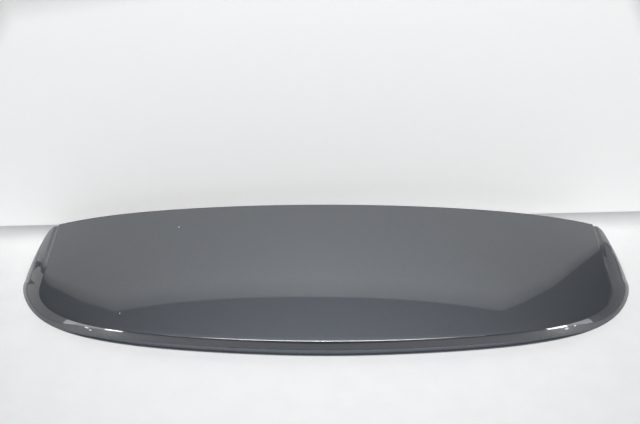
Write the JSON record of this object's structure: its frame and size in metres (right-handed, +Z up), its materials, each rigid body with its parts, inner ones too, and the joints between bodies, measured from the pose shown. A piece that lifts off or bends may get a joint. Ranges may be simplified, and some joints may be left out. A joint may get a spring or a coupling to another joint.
{
  "type": "tailgate spoiler",
  "caption": "Painted two-shell spoiler for the top of a car tailgate: a crowned panel with down-turned side wings and a rear lip, fastened from below by studs and clips.",
  "frame": {"origin": "under the middle of the part, on the plane that its rim rests on", "axes": "+X across the car to the right as seen from behind, +Y from the rear lip to the front edge, +Z up"},
  "size_m": [1.2096, 0.36, 0.106],
  "materials": {
    "paint": "dark grey metallic paint under clear coat",
    "paint_under": "the same paint, thinner towards the seat",
    "steel": "zinc plated",
    "foam": "closed-cell foam",
    "clip_plastic": "natural nylon",
    "rubber": "matt"
  },
  "bodies": {
    "root": {"upper_shell": "paint", "lower_shell": "paint_under", "mounting_studs": "steel", "stud_seals": "foam", "retaining_clips": "clip_plastic", "clip_seals": "foam", "front_seal": "foam", "wing_buffers": "rubber"}
  },
  "joints": []
}
